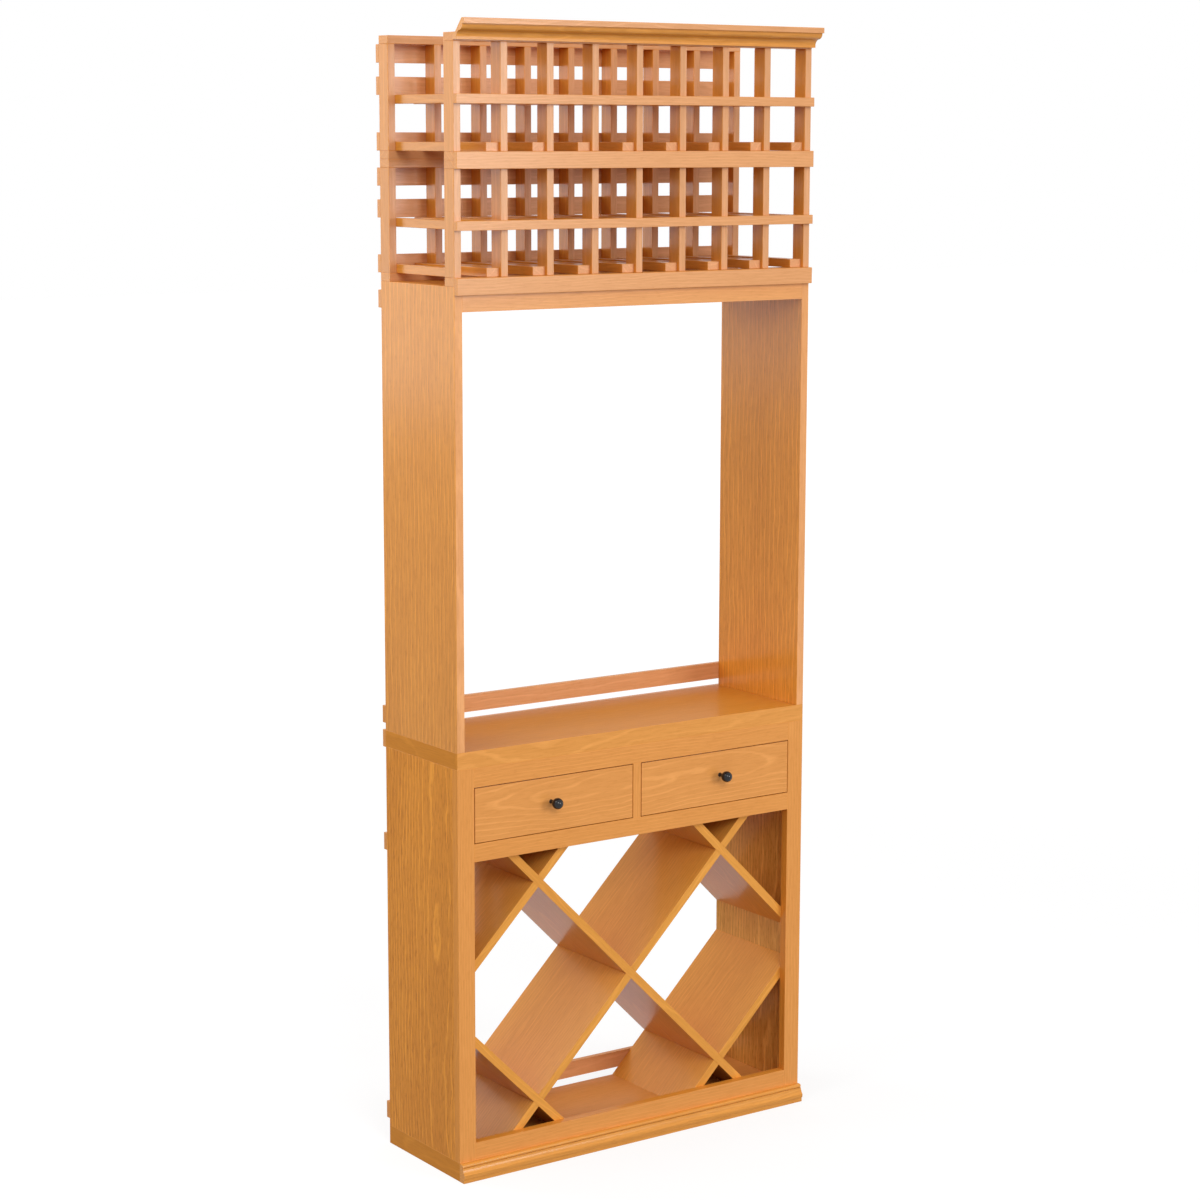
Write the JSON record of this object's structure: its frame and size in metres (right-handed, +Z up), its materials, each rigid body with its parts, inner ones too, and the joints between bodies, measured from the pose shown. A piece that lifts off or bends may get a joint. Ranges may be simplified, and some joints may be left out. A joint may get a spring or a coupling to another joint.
{
  "type": "wine tasting station",
  "caption": "Tall open wooden wine cabinet: diamond bin and inset drawers under a counter, an open niche above it and a slatted bottle rack with a crown moulding on top.",
  "frame": {"origin": "middle of the base floor slab's underside, on the floor", "axes": "+Z up, +X to the right as seen from the front, -Y out of the front"},
  "size_m": [0.9004, 0.337, 2.377],
  "materials": {
    "rack_wood": "satin clear lacquer",
    "slab_wood": "semi-gloss clear lacquer",
    "front_wood": "satin clear lacquer",
    "panel_wood": "satin clear lacquer",
    "inner_wood": "satin clear lacquer",
    "drawer_box_wood": "satin clear lacquer",
    "knob_gloss": "gloss black",
    "slide_steel": "zinc plated",
    "screw_steel": "zinc plated"
  },
  "bodies": {
    "cabinet": {"base_back_slats": "inner_wood", "base_floor_slab": "slab_wood", "base_moulding": "front_wood", "base_side_left": "panel_wood", "base_side_right": "panel_wood", "bin_board_falling_centre": "inner_wood", "bin_board_falling_lower": "inner_wood", "bin_board_falling_upper": "inner_wood", "bin_board_rising_centre": "inner_wood", "bin_board_rising_lower": "inner_wood", "bin_board_rising_upper": "inner_wood", "counter_top": "slab_wood", "crown_moulding": "front_wood", "drawer_deck": "inner_wood", "drawer_partition": "inner_wood", "drawer_slide_cabinet_members": "slide_steel", "drawer_slide_packers": "inner_wood", "frame_rail_bottom": "front_wood", "frame_rail_middle": "front_wood", "frame_rail_top": "front_wood", "frame_stile_centre": "front_wood", "frame_stile_left": "front_wood", "frame_stile_right": "front_wood", "niche_back_slats": "inner_wood", "niche_header": "front_wood", "niche_side_left": "panel_wood", "niche_side_right": "panel_wood", "niche_top": "inner_wood", "rack_lower_back_slats": "rack_wood", "rack_lower_back_uprights": "rack_wood", "rack_lower_front_uprights": "rack_wood", "rack_lower_narrow_rail": "rack_wood", "rack_lower_narrow_runners": "rack_wood", "rack_lower_plates": "rack_wood", "rack_lower_wide_rail": "rack_wood", "rack_lower_wide_runners": "rack_wood", "rack_upper_back_slats": "rack_wood", "rack_upper_back_uprights": "rack_wood", "rack_upper_front_uprights": "rack_wood", "rack_upper_narrow_rail": "rack_wood", "rack_upper_narrow_runners": "rack_wood", "rack_upper_plates": "rack_wood", "rack_upper_wide_rail": "rack_wood", "rack_upper_wide_runners": "rack_wood"},
    "drawer_left": {"drawer_left_bottom": "drawer_box_wood", "drawer_left_ends": "drawer_box_wood", "drawer_left_front": "front_wood", "drawer_left_knob": "knob_gloss", "drawer_left_knob_screw": "screw_steel", "drawer_left_sides": "drawer_box_wood", "drawer_left_slide_drawer_members": "slide_steel"},
    "drawer_left_middle_slides": {"drawer_left_slide_middle_members": "slide_steel"},
    "drawer_right": {"drawer_right_bottom": "drawer_box_wood", "drawer_right_ends": "drawer_box_wood", "drawer_right_front": "front_wood", "drawer_right_knob": "knob_gloss", "drawer_right_knob_screw": "screw_steel", "drawer_right_sides": "drawer_box_wood", "drawer_right_slide_drawer_members": "slide_steel"},
    "drawer_right_middle_slides": {"drawer_right_slide_middle_members": "slide_steel"}
  },
  "joints": [
    {"name": "drawer_left_slide", "type": "slide", "parent": "cabinet", "child": "drawer_left", "axis": [0, -1, 0], "range_m": [0, 0.2]},
    {"name": "drawer_left_middle_slide", "type": "slide", "parent": "cabinet", "child": "drawer_left_middle_slides", "axis": [0, -1, 0], "range_m": [0, 0.1]},
    {"name": "drawer_right_slide", "type": "slide", "parent": "cabinet", "child": "drawer_right", "axis": [0, -1, 0], "range_m": [0, 0.2]},
    {"name": "drawer_right_middle_slide", "type": "slide", "parent": "cabinet", "child": "drawer_right_middle_slides", "axis": [0, -1, 0], "range_m": [0, 0.1]}
  ],
  "couplings": [
    {"joint": "drawer_left_middle_slide", "follows": "drawer_left_slide", "ratio": 0.5},
    {"joint": "drawer_right_middle_slide", "follows": "drawer_right_slide", "ratio": 0.5}
  ]
}
